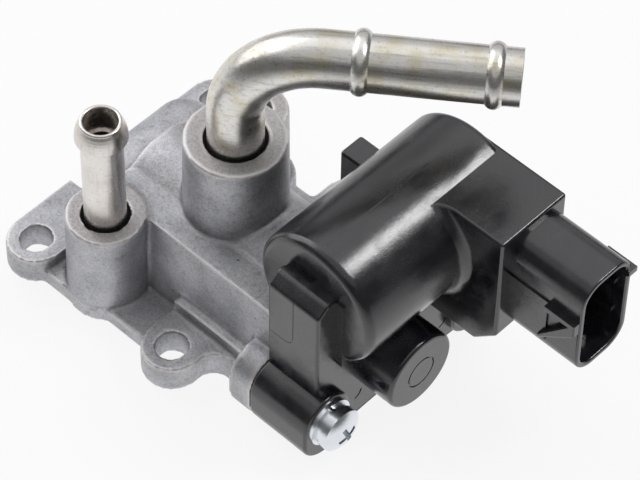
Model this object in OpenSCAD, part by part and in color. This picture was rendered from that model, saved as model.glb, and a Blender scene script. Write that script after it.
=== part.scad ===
/* [Mounting flange] */
// Distance between the mounting holes along the valve axis
hole_pitch_x = 41; // [39:0.5:44]
// Distance between the mounting holes across the valve axis
hole_pitch_y = 54.4; // [53:0.2:58]
// Diameter of each mounting hole
hole_d = 7; // [6:0.1:8]
// Radius of the rounded ear about each mounting hole
ear_r = 6.6; // [6:0.1:7.2]
// Thickness of the ears and of the flange under the walls
ear_t = 7; // [6:0.5:9]
// Thickness of the thinner ledge in front of the wall
ledge_t = 4; // [3:0.5:5]

/* [Valve barrel] */
// Height of the valve axis above the gasket face
axis_z = 14; // [13.5:0.25:15]
// Outer radius of the cast barrel
barrel_r = 14; // [13:0.5:15]
// Radius of the valve bore
bore_r = 7.6; // [7.2:0.1:8]
// Radial gap between the valve drum and its bore
drum_gap = 0.15; // [0.08:0.01:0.3]
// Length of the valve drum
drum_len = 20.5; // [18:0.5:22]
// Height of the flat shoulder beside the barrel
shoulder_z = 24.5; // [23:0.5:26]
// Front face of the shoulder wall at its foot, across the valve axis
wall_y = 17.9; // [17:0.1:18.5]
// Radius of the air port through the gasket face
air_port_r = 5.5; // [4:0.5:6]
// Radius of the cast hump over the cross passage
hump_r = 7.5; // [7:0.5:9]
// Radius of the cross passage and of its port
cross_r = 4; // [3:0.5:5]

/* [Hose connections] */
// Outer radius of the nipple boss
nipple_boss_r = 8.6; // [8:0.1:9.2]
// Height of the nipple boss above the gasket face
nipple_boss_z = 25; // [23:0.5:28]
// Outer diameter of the straight nipple
nipple_d = 9; // [8:0.1:10]
// Wall of the straight nipple
nipple_wall = 0.9; // [0.7:0.1:1.3]
// Diameter of the nipple's bead
nipple_bead_d = 11.2; // [10.4:0.1:12]
// Height of the nipple's end above the gasket face
nipple_top_z = 54.5; // [48:0.5:60]
// Outer radius of the pipe boss
pipe_boss_r = 11; // [10:0.1:12]
// Height of the pipe boss above the gasket face
pipe_boss_z = 44.7; // [42:0.1:47]
// Outer diameter of the bent pipe
pipe_d = 12; // [11:0.1:13]
// Wall of the bent pipe
pipe_wall = 1.2; // [0.8:0.1:1.6]
// Bend radius of the bent pipe at its middle line
pipe_bend_r = 18; // [16:0.5:21]
// Height of the bent pipe's run above the gasket face
pipe_run_z = 71.3; // [70:0.1:78]
// Turn of the bent pipe's run from the valve axis, in degrees
pipe_turn = 37; // [20:1:50]
// Reach of the bent pipe from its boss to its open end
pipe_reach = 57.3; // [50:0.1:65]
// Outer radius of the rear boss
rear_boss_r = 7.9; // [7:0.1:8.5]
// Height of the rear boss above the gasket face
rear_boss_z = 28.5; // [26:0.5:32]
// Radius of the bore in the rear boss
rear_bore_r = 4.1; // [3:0.1:5]

/* [Motor] */
// Where the motor meets the body, along the valve axis
joint_x = 41.5; // [41:0.5:43]
// Length of the motor's base along the valve axis
base_len = 14; // [13.5:0.5:15]
// How far the motor's base hangs below the gasket face
base_drop = 2.4; // [2:0.1:3]
// Outer radius of the coil housing
coil_r = 15.5; // [15.2:0.1:16.5]
// Height of the coil axis above the gasket face
coil_z = 36.3; // [36:0.1:38]
// Wall of the coil housing
coil_wall = 1.7; // [1.3:0.1:2]
// Outer radius of the round rotor cap
cap_r = 9.2; // [9:0.1:10]
// Length of the rotor cap
cap_len = 10.3; // [9.5:0.1:12]
// Outer face of the near leg cover, across the valve axis
leg_y = 20.2; // [20:0.1:21]
// Height of the leg covers above the gasket face
leg_z = 42.5; // [42:0.1:44]
// Radius of the magnet on the rotor
magnet_r = 7.3; // [7:0.1:7.5]
// Radius of the valve shaft
shaft_r = 2.5; // [2:0.1:3]
// Radial running gap of the shaft in its bushes
shaft_gap = 0.03; // [0.02:0.01:0.06]

/* [Clamping screws] */
// Place of the near clamping screw across the valve axis
screw_y = 19; // [18.8:0.1:19.6]
// Place of the far clamping screw across the valve axis
far_screw_y = 26; // [25:0.1:27]
// Height of the clamping screws above the gasket face
screw_z = 8.1; // [7.5:0.1:8.5]
// Thread diameter of the clamping screws
screw_d = 5; // [4:0.5:6]
// Half width of the screw bosses
screw_boss_r = 6.6; // [6.2:0.1:6.9]
// Length of the aluminium screw bosses
screw_boss_len = 6; // [5:0.5:8]
// Head diameter of the clamping screws
head_d = 10.2; // [9:0.1:10.4]
// Outer diameter of the plain washers
washer_d = 11.2; // [10.6:0.1:12]

/* [Connector] */
// Near face of the connector block, across the valve axis
block_y = 13.4; // [13:0.1:14]
// Width of the connector block
block_w = 19.2; // [18.6:0.1:20]
// Top of the connector block above the gasket face
block_top = 50; // [49.5:0.1:51.5]
// Underside of the connector block above the gasket face
block_bottom = 14.8; // [14:0.2:17]
// Where the connector block ends, along the valve axis
block_end = 73.8; // [72:0.2:76]
// Width of the connector mouth's hood
hood_w = 15.2; // [14.4:0.2:15.6]
// Height of the connector mouth's hood
hood_h = 27; // [26:0.2:28]
// Middle of the hood above the gasket face
hood_z = 34.8; // [34:0.1:35.2]
// Length of the hood
hood_len = 18.7; // [16:0.1:20]
// Wall of the hood
hood_wall = 1.4; // [1:0.1:1.6]
// Distance between the terminals
terminal_pitch = 4.6; // [4:0.1:5]

/* [Hidden] */
$fn = 48;
cut = 0.5;
fit = 0.02;

hole_x = hole_pitch_x / 2;
hole_y = hole_pitch_y / 2;
ear_edge_x = hole_x + ear_r;
ear_inner_x = hole_x - ear_r;

nipple_x = -3.9;
nipple_y = -21.9;
pipe_x = 12.7;
rear_boss_y = 17.8;
hump_x = -14.5;
barrel_x0 = -9.5;
bore_end_x = -5;
step_y = wall_y + 2.1;
step_z = 9.8;
shoulder_y = wall_y - 1.3;
ledge_front_y = 30.7;
ledge_near_y = 28.8;
rear_edge_y = 22.3;
wall_back_y = 16.5;
near_web_y = 10.7;
hump_half_y = 11.6;
cross_port_y = 8;
arm_y = barrel_r - 6;
seat_depth = 10;
ring_gap = 0.7;
ring_depth = 1.6;
nipple_liner = 1.4;
nipple_bore_r = nipple_d / 2 - nipple_liner;
bead_rise = (nipple_bead_d - nipple_d) / 2;
bead_reach = 4.4;
bead_cone = 1.4;
bead_round = (bead_rise * bead_rise + bead_reach * bead_reach) / (2 * bead_rise);
bead_angle = asin(bead_reach / bead_round);
bead_steps = 6;

drum_x = pipe_x - drum_len / 2;
drum_r = bore_r - drum_gap;
bush_r = shaft_r + 2;
ring_x = drum_x + drum_len + 0.6;
ring_t = 0.8;
thrust_x = ring_x + ring_t + 0.3;
thrust_t = 1;
carrier_x = thrust_x + thrust_t;
carrier_nose = 1.5;
inner_bush_len = 6;
seal_x = joint_x - 4.5;
seal_len = 2;
seal_r = bush_r + 0.6;

cavity_r = magnet_r + 0.5;
nose_r = cavity_r - 1.5;
base_end = joint_x + base_len;
cap_end = base_end + cap_len;
gate_r = 3.7;
mark_r = 2.1;
mark_z = 5.2;
coil_x = joint_x + 7.6;
leg_in_y = 14.9;
magnet_x = joint_x + 2.5;
magnet_len = base_len - 3;
outer_bush_x = base_end + 2;
outer_bush_len = 5;
shaft_x0 = drum_x - 3;

coil_end_y = 14.7;
coil_far_y = block_y + block_w - 0.4;
coil_edge_r = 2;
junction_r = 2.5;
bobbin_y = 13.1;
bobbin_r = coil_r - coil_wall - 0.3;
bobbin_flange = 1.4;
winding_r = bobbin_r - 0.6;
core_r = 4.5;
core_end_r = 2.8;
tube_r = core_r + 1.3;
leg_half_x = 4.4;
leg_t = 3.2;
leg_face_y = leg_in_y;
leg_foot_z = screw_z + screw_d / 2 + 2;
shoe_end_y = screw_y - screw_d / 2 - 0.8;
rib_foot_z = 22.5;
rib_top_z = coil_z + 5.5;
leg_top_z = coil_z + 4.4;
shoe_half_z = 6.5;

screw_foot_z = screw_boss_r - base_drop;
screw_boss_end = base_end + 2;
plain_t = 1;
spring_t = 1.3;
head_h = 3.6;
head_x = screw_boss_end + plain_t + spring_t;

hood_y = block_y + block_w / 2 + 1;
hood_r = 5.5;
block_corner = 5.7;
mouth_x = block_end + hood_len;
terminal_x = coil_x + 9.2;
terminal_t = 0.8;
terminal_h = 2.6;
latch_z = hood_z + 7.5;
hood_side_y = hood_y - hood_w / 2;
rib_x = block_end + 10.4;
rib_z = hood_z + 4.2;
rib_len = 8;
rib_out = 1.6;
rib_t = 1.6;
lug_x = 26.4;
lug_len = 9;
lug_y = 16.7;
lug_w = 6.4;
lug_z = 18;
lug_top = 37.3;

// Place of the near (-1) or far (1) clamping screw across the valve axis
function seat_y(side) = side < 0 ? -screw_y : far_screw_y;

// Runs a flat (Y, Z) outline along X, from one place to another
module run_x(x0, x1) {
  translate([x0, 0, 0])
    rotate([90, 0, 90])
      linear_extrude(x1 - x0)
        children();
}

// Runs a flat (X, Z) outline along Y, from one place to another
module run_y(y0, y1) {
  translate([0, y1, 0])
    rotate([90, 0, 0])
      linear_extrude(y1 - y0)
        children();
}

// Round bar along the valve axis
module bar_x(r, x0, x1, y = 0, z = axis_z) {
  translate([x0, y, z])
    rotate([0, 90, 0])
      cylinder(r = r, h = x1 - x0);
}

// Round bar along the coil axis
module bar_y(r, y0, y1, x = coil_x, z = coil_z) {
  translate([x, y0, z])
    rotate([-90, 0, 0])
      cylinder(r = r, h = y1 - y0);
}

// Box between two corners
module box(low, high) {
  translate(low)
    cube(high - low);
}

// Rectangle between two corners
module area(low, high) {
  translate(low)
    square(high - low);
}

// Rectangle with round corners about its own middle
module rounded_area(w, h, r) {
  square([w - 2 * r, h], center = true);
  square([w, h - 2 * r], center = true);
  for (sx = [-1, 1], sy = [-1, 1])
    translate([sx * (w / 2 - r), sy * (h / 2 - r)])
      circle(r);
}

// Washer about the valve axis
module ring_x(r_out, r_in, x0, x1, y = 0, z = axis_z) {
  difference() {
    bar_x(r_out, x0, x1, y, z);
    bar_x(r_in, x0 - cut, x1 + cut, y, z);
  }
}

// Thick flange: four ears, the plate under the walls and the lobe about the rear port
module flange_outline() {
  for (sx = [-1, 1], sy = [-1, 1])
    translate([sx * hole_x, sy * hole_y])
      circle(ear_r);
  area([-ear_edge_x, -hole_y], [-ear_inner_x, -near_web_y]);
  area([-ear_edge_x, wall_back_y], [-ear_inner_x, hole_y]);
  area([ear_inner_x, -hole_y], [ear_edge_x, -wall_y + 1]);
  area([ear_inner_x, wall_y - 5], [ear_edge_x, hole_y]);
  area([hump_x - hump_r - 1, -wall_y], [joint_x, wall_back_y]);
  area([-ear_edge_x + 4, cross_port_y], [ear_inner_x + 1, rear_edge_y]);
  translate([0, rear_boss_y])
    circle(rear_boss_r + 1.6);
}

// Concave web that carries the near screw boss from the ear
module screw_web_outline() {
  difference() {
    area([ear_inner_x, -step_y - 4], [joint_x, -wall_y + 1]);
    translate([ear_edge_x + 4.4, -step_y - 6])
      circle(4.4);
    area([ear_edge_x + 4, -step_y - 5], [joint_x + cut, -step_y - 2.5]);
  }
}

// Thin ledge in front of the wall
module ledge_outline() {
  area([-hole_x, -ledge_front_y], [nipple_x, -wall_y + 1]);
  area([nipple_x - 1, -ledge_near_y], [hole_x, -wall_y + 1]);
  translate([nipple_x, nipple_y])
    circle(nipple_boss_r + 0.7);
}

// Section of the walls under and beside the barrel
module wall_outline() {
  polygon([
    [-wall_y, 0],
    [-wall_y, step_z],
    [-shoulder_y, shoulder_z],
    [0, shoulder_z],
    [barrel_r, axis_z],
    [barrel_r + 1, 0]
  ]);
  translate([0, axis_z])
    circle(barrel_r);
}

// Upright slot-shaped section of one screw boss
module screw_boss_outline(side) {
  y = seat_y(side);
  translate([y, screw_z])
    circle(screw_boss_r);
  translate([y, screw_foot_z])
    circle(screw_boss_r);
  area([y - screw_boss_r, screw_foot_z], [y + screw_boss_r, screw_z]);
}

// Cast arm between the wall and one screw boss
module screw_arm(side) {
  run_x(joint_x - screw_boss_len, joint_x) {
    screw_boss_outline(side);
    area([min(seat_y(side), side * arm_y), -base_drop], [max(seat_y(side), side * arm_y), screw_z + 3]);
  }
}

// Hump over the cross passage, domed at its rear end
module hump() {
  bar_y(hump_r, -hump_half_y, hump_half_y, hump_x, axis_z);
  translate([hump_x, hump_half_y, axis_z])
    sphere(r = hump_r);
  box([hump_x - hump_r, -hump_half_y, 0], [hump_x + hump_r, hump_half_y, axis_z]);
  bar_x(hump_r - 1, hump_x, barrel_x0 + cut);
}

module body_solid() {
  linear_extrude(ear_t) {
    flange_outline();
    screw_web_outline();
  }
  linear_extrude(ledge_t)
    ledge_outline();
  run_x(barrel_x0, joint_x)
    wall_outline();
  box([ear_inner_x, -step_y, 0], [joint_x - screw_boss_len + 1, -wall_y + 1, step_z]);
  hump();
  translate([nipple_x, nipple_y, 0])
    cylinder(r1 = nipple_boss_r + 0.4, r2 = nipple_boss_r, h = nipple_boss_z);
  translate([pipe_x, 0, axis_z])
    cylinder(r1 = pipe_boss_r + 0.5, r2 = pipe_boss_r, h = pipe_boss_z - axis_z);
  translate([0, rear_boss_y, 0])
    cylinder(r1 = rear_boss_r + 0.3, r2 = rear_boss_r, h = rear_boss_z);
  for (side = [-1, 1])
    screw_arm(side);
}

// Stepped seat of a pressed pipe, with the turned ring about its top
module pipe_seat(x, y, top, pipe_r, bore_r2, bottom) {
  translate([x, y, top - seat_depth])
    cylinder(r = pipe_r, h = seat_depth + cut);
  translate([x, y, top - ring_depth])
    cylinder(r = pipe_r + ring_gap, h = ring_depth + cut);
  translate([x, y, bottom])
    cylinder(r = bore_r2, h = top - bottom);
}

module valve_body() {
  color("silver")
    difference() {
      body_solid();
      for (sx = [-1, 1], sy = [-1, 1])
        translate([sx * hole_x, sy * hole_y, -cut])
          cylinder(d = hole_d, h = ear_t + 2 * cut);
      bar_x(bore_r, bore_end_x, joint_x + cut);
      pipe_seat(pipe_x, 0, pipe_boss_z, pipe_d / 2, pipe_d / 2 - pipe_wall, axis_z);
      pipe_seat(nipple_x, nipple_y, nipple_boss_z, nipple_d / 2, nipple_bore_r, axis_z);
      bar_y(nipple_bore_r, nipple_y, 0, nipple_x + 3, axis_z);
      bar_x(nipple_bore_r, nipple_x, nipple_x + 3, nipple_y);
      translate([pipe_x, 0, -cut])
        cylinder(r = air_port_r, h = axis_z);
      bar_x(cross_r, hump_x, 0);
      bar_y(cross_r, -cross_r / 2, cross_port_y, hump_x, axis_z);
      translate([hump_x, cross_port_y, -cut])
        cylinder(r = cross_r, h = axis_z);
      translate([0, rear_boss_y, -cut])
        cylinder(r = rear_bore_r, h = rear_boss_z + 2 * cut);
      bar_y(coil_r + 0.3, -coil_end_y - 3, coil_far_y, coil_x, coil_z);
      for (side = [-1, 1])
        bar_x(screw_d / 2, joint_x - screw_boss_len + 1, joint_x + cut, seat_y(side), screw_z);
    }
}

// Rounded bead rolled on a tube, as a ring section
module bead_area(tube_r2, bead_r, at) {
  intersection() {
    translate([tube_r2 - 1.2, at])
      circle(bead_r - tube_r2 + 1.2);
    area([tube_r2 - 0.5, at - 3], [bead_r + 1, at + 3]);
  }
}

// Points of the bead's long arc, from its widest ring up to the rim
function bead_arc(r, widest_z) = [
  for (i = [0:bead_steps])
    let (a = bead_angle * i / bead_steps)
      [r + bead_rise - bead_round * (1 - cos(a)), widest_z + bead_round * sin(a)]
];

// Wall of the nipple with its bead: a short cone below, a long arc up to the rim
module nipple_wall_area(foot) {
  r = nipple_d / 2;
  rim_z = nipple_top_z - nipple_wall / 2;
  polygon(concat(
    [[r - nipple_wall, foot], [r, foot], [r, rim_z - bead_reach - bead_cone]],
    bead_arc(r, rim_z - bead_reach),
    [[r - nipple_wall, rim_z]]
  ));
  translate([r - nipple_wall / 2, rim_z])
    circle(nipple_wall / 2);
}

module straight_nipple() {
  foot = nipple_boss_z - seat_depth;
  color("gainsboro")
    translate([nipple_x, nipple_y, 0])
      rotate_extrude() {
        nipple_wall_area(foot);
        area([nipple_bore_r, foot], [nipple_bore_r + nipple_liner - nipple_wall + 0.1, nipple_top_z - 7]);
      }
}

// Bent pipe solid or its bore, by radius and by how far its ends run on
module pipe_run(r, extra) {
  foot = pipe_boss_z - seat_depth;
  bend_z = pipe_run_z - pipe_bend_r;
  translate([0, 0, foot - extra])
    cylinder(r = r, h = bend_z - foot + extra);
  translate([pipe_bend_r, 0, bend_z])
    rotate([90, 0, 0])
      rotate([0, 0, 90])
        rotate_extrude(angle = 90)
          translate([pipe_bend_r, 0])
            circle(r);
  translate([pipe_bend_r, 0, pipe_run_z])
    rotate([0, 90, 0])
      cylinder(r = r, h = pipe_reach - pipe_bend_r + extra);
}

module pipe_bead(at) {
  translate([at, 0, pipe_run_z])
    rotate([0, 90, 0])
      rotate_extrude()
        bead_area(pipe_d / 2, pipe_d / 2 + 0.9, 0);
}

module bent_pipe() {
  color("khaki")
    translate([pipe_x, 0, 0])
      rotate([0, 0, pipe_turn])
        difference() {
          union() {
            pipe_run(pipe_d / 2, 0);
            pipe_bead(pipe_bend_r + 7.3);
            pipe_bead(pipe_reach - 5.3);
          }
          pipe_run(pipe_d / 2 - pipe_wall, cut);
        }
}

// Section of the motor's base plate
module base_outline() {
  translate([0, axis_z - 2])
    rounded_area(2 * leg_y, 2 * (axis_z - 2 + base_drop), 3);
  area([-leg_y, screw_z], [leg_y, coil_z - 8]);
}

// Cover over one pole leg, chamfered at its outer top edge
module leg_cover_outline(side) {
  polygon([
    [side * (coil_end_y - 0.5), screw_z],
    [side * leg_y, screw_z],
    [side * leg_y, leg_z - 2.2],
    [side * (leg_y - 2.8), leg_z],
    [side * (coil_end_y - 0.5), leg_z]
  ]);
}

// Block behind the connector mouth, with its lower outer corner cut off
module block_outline() {
  polygon([
    [coil_x, block_bottom],
    [block_end - block_corner, block_bottom],
    [block_end, block_bottom + block_corner],
    [block_end, block_top],
    [coil_x, block_top]
  ]);
}

// Moulded lug on the far side, joined to the base by its arm
module clip_lug() {
  box([lug_x, lug_y, lug_z], [lug_x + lug_len, lug_y + lug_w, lug_top]);
  box([lug_x + lug_len - cut, lug_y, lug_z], [joint_x + 1, lug_y + lug_w, lug_z + 9]);
}

module hood_shell() {
  translate([0, hood_y, hood_z])
    run_x(block_end - 1, mouth_x)
      rounded_area(hood_w, hood_h, hood_r);
  run_x(block_end - 1, mouth_x - 3)
    translate([hood_y - 0.6, hood_z - hood_h / 2 - 1.6])
      square([1.2, 3]);
  box([block_end - 1, hood_side_y - 0.4, hood_z - hood_h / 2 + hood_r], [rib_x, hood_side_y + 1, rib_z]);
  keying_rib();
}

// Bent rib on the hood's near side, which keeps a wrong plug out
module keying_rib() {
  run_y(hood_side_y - rib_out, hood_side_y + 1) {
    area([rib_x, rib_z - rib_t], [rib_x + rib_len, rib_z]);
    polygon([
      [rib_x - 1, rib_z - rib_len - rib_t],
      [rib_x + rib_len - rib_t, rib_z - rib_t / 2],
      [rib_x + rib_len, rib_z - rib_t / 2],
      [rib_x + rib_len, rib_z - rib_t - 2],
      [rib_x - 1, rib_z - rib_len - 2 * rib_t]
    ]);
  }
}

// Guide ribs in the connector mouth, on its far wall and on its floor
module mouth_ribs() {
  inner_y = hood_y + hood_w / 2 - hood_wall;
  floor_z = hood_z - hood_h / 2 + hood_wall;
  for (z = [hood_z - 6, hood_z + 3])
    box([block_end - 1, inner_y - 0.6, z], [mouth_x - 2.5, inner_y + 0.5, z + 1.2]);
  box([block_end - 1, hood_y - 1.8, floor_z - 0.5], [mouth_x - 4, hood_y + 0.6, floor_z + 2]);
}

// Latch plate on the hood's far side, for the plug's clip
module latch_step() {
  box(
    [mouth_x - 7, hood_y + hood_w / 2 - 1.6, latch_z],
    [mouth_x + 0.6, hood_y + hood_w / 2 + 0.9, latch_z + 1.4]
  );
}

// Turns a section about the coil axis
module turn_y(at) {
  translate([coil_x, at, coil_z])
    rotate([-90, 0, 0])
      rotate_extrude()
        children();
}

// Coil housing with a round edge at each end
module coil_barrel() {
  inner = coil_r - coil_edge_r;
  length = coil_end_y + coil_far_y;
  turn_y(-coil_end_y) {
    area([0, 0], [inner, length]);
    area([0, coil_edge_r], [coil_r, length - coil_edge_r]);
    for (at = [coil_edge_r, length - coil_edge_r])
      translate([inner, at])
        circle(coil_edge_r);
  }
}

// Hollow fillet where the coil housing runs into the connector block
module junction_fillet() {
  intersection() {
    turn_y(block_y - junction_r)
      difference() {
        area([coil_r - 0.5, 0], [coil_r + junction_r, junction_r + 0.1]);
        translate([coil_r + junction_r, 0])
          circle(junction_r);
      }
    box([coil_x, block_y - junction_r, block_bottom], [block_end, block_y + 0.1, block_top]);
  }
}

module housing_solid() {
  run_x(joint_x, base_end) {
    base_outline();
    leg_cover_outline(-1);
    leg_cover_outline(1);
  }
  run_x(joint_x, base_end)
    area([leg_y - 1, -base_drop], [far_screw_y, block_bottom + 1]);
  run_x(joint_x, screw_boss_end) {
    screw_boss_outline(-1);
    screw_boss_outline(1);
  }
  coil_barrel();
  junction_fillet();
  run_y(block_y, block_y + block_w)
    block_outline();
  bar_x(cap_r - 0.9, base_end - 1, cap_end);
  bar_x(cap_r, base_end - 1, cap_end - 0.9);
  rotate_extrude_rim();
  hood_shell();
  latch_step();
  clip_lug();
  box([base_end - 1, -leg_in_y - 0.3, rib_foot_z], [base_end + 2.1, -coil_end_y + 1, rib_top_z]);
}

// Rounded rim of the rotor cap
module rotate_extrude_rim() {
  translate([cap_end - 0.9, 0, axis_z])
    rotate([0, 90, 0])
      rotate_extrude()
        translate([cap_r - 0.9, 0])
          intersection() {
            circle(0.9);
            square(0.9);
          }
}

// Solid of one pole leg, grown by a gap for its pocket
module pole_leg_solid(side, gap) {
  y0 = leg_face_y - gap;
  y1 = leg_face_y + leg_t + gap;
  x0 = coil_x - leg_half_x - gap;
  x1 = coil_x + leg_half_x + gap;
  mirror([0, side < 0 ? 1 : 0, 0]) {
    box([x0, y0, leg_foot_z - gap], [x1, y1, leg_top_z + gap]);
    box([x0, cavity_r - 3, axis_z - shoe_half_z - gap], [x1, shoe_end_y + gap, axis_z + shoe_half_z + gap]);
  }
}

// One bent terminal, grown by a gap for its pocket
module terminal_solid(row, gap) {
  z0 = hood_z + row * terminal_pitch - terminal_h / 2 - gap;
  z1 = z0 + terminal_h + 2 * gap;
  y1 = hood_y + terminal_t / 2 + gap;
  box([terminal_x - gap, bobbin_y, z0], [terminal_x + terminal_t + gap, y1, z1]);
  box([terminal_x - gap, hood_y - terminal_t / 2 - gap, z0], [mouth_x - 5, y1, z1]);
}

module motor_housing() {
  color("dimgray")
    difference() {
      housing_solid();
      box([lug_x - cut, -joint_x, -10], [joint_x, lug_y - 0.2, shoulder_z + 3.8]);
      bar_x(cavity_r, joint_x - cut, magnet_x + magnet_len + 0.6);
      bar_x(bush_r, base_end - 1, outer_bush_x + outer_bush_len);
      bar_y(bobbin_r, -bobbin_y, bobbin_y);
      bar_y(core_r, -leg_face_y, leg_face_y);
      for (side = [-1, 1]) {
        pole_leg_solid(side, fit);
        bar_x(screw_d / 2 + 0.25, joint_x - cut, screw_boss_end + cut, seat_y(side), screw_z);
      }
      for (row = [-1, 0, 1])
        terminal_solid(row, fit);
      difference() {
        translate([0, hood_y, hood_z])
          run_x(block_end - 2, mouth_x + cut)
            rounded_area(hood_w - 2 * hood_wall, hood_h - 2 * hood_wall, hood_r - hood_wall);
        mouth_ribs();
      }
      moulding_marks();
    }
}

// Marks of the mould: a groove behind the leg cover, a ring on the cap and an arc on the base
module moulding_marks() {
  box([joint_x - cut, -leg_in_y - 0.7, leg_z - 1.2], [coil_x, -coil_end_y, leg_z + cut]);
  ring_x(gate_r + 0.2, gate_r - 0.2, cap_end - 0.25, cap_end + cut);
  for (y = [-8.6, 17.2])
    intersection() {
      ring_x(mark_r, mark_r - 0.5, base_end - 0.8, base_end + cut, y, mark_z);
      box([base_end - 1, y, mark_z - 3], [base_end + 1, y + 3, mark_z]);
    }
}

module motor_seal() {
  color("black")
    translate([joint_x + 0.1, 0, axis_z])
      rotate([0, 90, 0])
        rotate_extrude()
          translate([(nose_r + cavity_r) / 2, 0.7])
            rounded_area(cavity_r - nose_r, 1.4, 0.6);
}

// Clamping screw with a domed cross head
module housing_screw(side) {
  translate([head_x, seat_y(side), screw_z])
    rotate([0, 90, 0])
      difference() {
        union() {
          rotate_extrude()
            intersection() {
              area([0, 0], [head_d / 2, head_h]);
              translate([0, head_h - 8])
                circle(8);
            }
          translate([0, 0, joint_x - screw_boss_len + 1.5 - head_x])
            cylinder(d = screw_d, h = head_x - joint_x + screw_boss_len - 1.4);
        }
        for (turn = [20, 110])
          rotate([0, 0, turn])
            translate([-2.4, -0.55, head_h - 1.7])
              cube([4.8, 1.1, 3]);
      }
}

module housing_screws() {
  color("lightgray")
    for (side = [-1, 1])
      housing_screw(side);
}

module spring_washers() {
  x0 = screw_boss_end + plain_t;
  color("lightgray")
    for (side = [-1, 1])
      difference() {
        ring_x(head_d / 2 - 0.3, screw_d / 2, x0, x0 + spring_t, seat_y(side), screw_z);
        translate([x0 - cut, seat_y(side) - 0.3, screw_z + 1])
          cube([spring_t + 2 * cut, 0.6, head_d / 2]);
      }
}

module plain_washers() {
  x0 = screw_boss_end;
  color("lightgray")
    for (side = [-1, 1])
      ring_x(washer_d / 2, screw_d / 2, x0, x0 + plain_t, seat_y(side), screw_z);
}

// Plug that carries the inner bush, the shaft seal and the motor seal
module bearing_carrier() {
  color("silver")
    difference() {
      union() {
        bar_x(bore_r, carrier_x, joint_x);
        bar_x(nose_r, joint_x - cut, joint_x + carrier_nose);
      }
      bar_x(bush_r, carrier_x - cut, carrier_x + inner_bush_len);
      bar_x(shaft_r + 0.6, carrier_x, joint_x + carrier_nose + cut);
      bar_x(seal_r, seal_x, seal_x + seal_len);
    }
}

module shaft_seal() {
  color("black")
    ring_x(seal_r, shaft_r + shaft_gap, seal_x, seal_x + seal_len);
}

module inner_bush() {
  color("goldenrod")
    ring_x(bush_r, shaft_r + shaft_gap, carrier_x, carrier_x + inner_bush_len);
}

module outer_bush() {
  color("goldenrod")
    ring_x(bush_r, shaft_r + shaft_gap, outer_bush_x, outer_bush_x + outer_bush_len);
}

module thrust_washer() {
  color("goldenrod")
    ring_x(bore_r - 1.5, shaft_r + 0.3, thrust_x, thrust_x + thrust_t);
}

module valve_shaft() {
  color("lightsteelblue")
    difference() {
      bar_x(shaft_r, shaft_x0, outer_bush_x + outer_bush_len - 0.5);
      ring_x(shaft_r + 1, shaft_r - 0.4, ring_x, ring_x + ring_t);
      translate([drum_x + 3, 0, 0])
        cylinder(r = 0.8, h = axis_z * 2);
    }
}

// Drum with its upper half cut away, so that it shuts the lower port
module rotary_valve() {
  wall = 1.5;
  color("burlywood")
    difference() {
      bar_x(drum_r, drum_x, drum_x + drum_len);
      difference() {
        bar_x(drum_r - wall, drum_x + wall, drum_x + drum_len - wall);
        bar_x(shaft_r + 1.5, drum_x, drum_x + drum_len);
      }
      difference() {
        box([drum_x + wall, -drum_r, axis_z], [drum_x + drum_len - wall, drum_r, axis_z + drum_r + cut]);
        bar_x(shaft_r + 1.5, drum_x, drum_x + drum_len);
      }
      bar_x(shaft_r, drum_x - cut, drum_x + drum_len + cut);
      translate([drum_x + 3, 0, axis_z - shaft_r - 1.6])
        cylinder(r = 0.8, h = 2 * shaft_r + 3.2);
    }
}

module valve_pin() {
  color("lightgray")
    translate([drum_x + 3, 0, axis_z - shaft_r - 1.4])
      cylinder(r = 0.8, h = 2 * shaft_r + 2.8);
}

module retaining_ring() {
  color("darkgray")
    difference() {
      ring_x(shaft_r + 1.6, shaft_r - 0.4, ring_x, ring_x + ring_t);
      box([ring_x - cut, -1.2, axis_z], [ring_x + ring_t + cut, 1.2, axis_z + shaft_r + 3]);
    }
}

module rotor_magnet() {
  color("dimgray")
    ring_x(magnet_r, shaft_r, magnet_x, magnet_x + magnet_len);
}

module bobbin() {
  color("ivory")
    difference() {
      union() {
        bar_y(bobbin_r, -bobbin_y, -bobbin_y + bobbin_flange);
        bar_y(bobbin_r, bobbin_y - bobbin_flange, bobbin_y);
        bar_y(tube_r, -bobbin_y, bobbin_y);
      }
      bar_y(core_r, -bobbin_y - cut, bobbin_y + cut);
    }
}

module coil_winding() {
  color("chocolate")
    difference() {
      bar_y(winding_r, -bobbin_y + bobbin_flange, bobbin_y - bobbin_flange);
      bar_y(tube_r, -bobbin_y, bobbin_y);
    }
}

module coil_core() {
  color("slategray")
    union() {
      bar_y(core_r, -leg_face_y, leg_face_y);
      bar_y(core_end_r, -leg_face_y - leg_t, leg_face_y + leg_t);
    }
}

module pole_leg(side) {
  color("slategray")
    difference() {
      pole_leg_solid(side, 0);
      bar_x(cavity_r, joint_x, base_end + 2);
      bar_y(core_end_r, -leg_face_y - leg_t - cut, leg_face_y + leg_t + cut);
    }
}

module near_pole_leg() {
  pole_leg(-1);
}

module far_pole_leg() {
  pole_leg(1);
}

module terminals() {
  color("silver")
    for (row = [-1, 0, 1])
      terminal_solid(row, 0);
}

valve_body();
straight_nipple();
bent_pipe();
motor_housing();
motor_seal();
housing_screws();
spring_washers();
plain_washers();
bearing_carrier();
shaft_seal();
inner_bush();
outer_bush();
thrust_washer();
valve_shaft();
rotary_valve();
valve_pin();
retaining_ring();
rotor_magnet();
bobbin();
coil_winding();
coil_core();
near_pole_leg();
far_pole_leg();
terminals();
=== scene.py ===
"""Looks of an idle air control valve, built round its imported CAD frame.

The cast body gets a soft cast skin with its machined holes cut afresh, the
motor housing gets moulded edges and mould marks, and every other CAD piece
gets the finish of the real one.
"""

import logging
import math
from collections.abc import Callable, Iterable, Sequence
from dataclasses import dataclass, field
from enum import Enum
from functools import reduce

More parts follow.
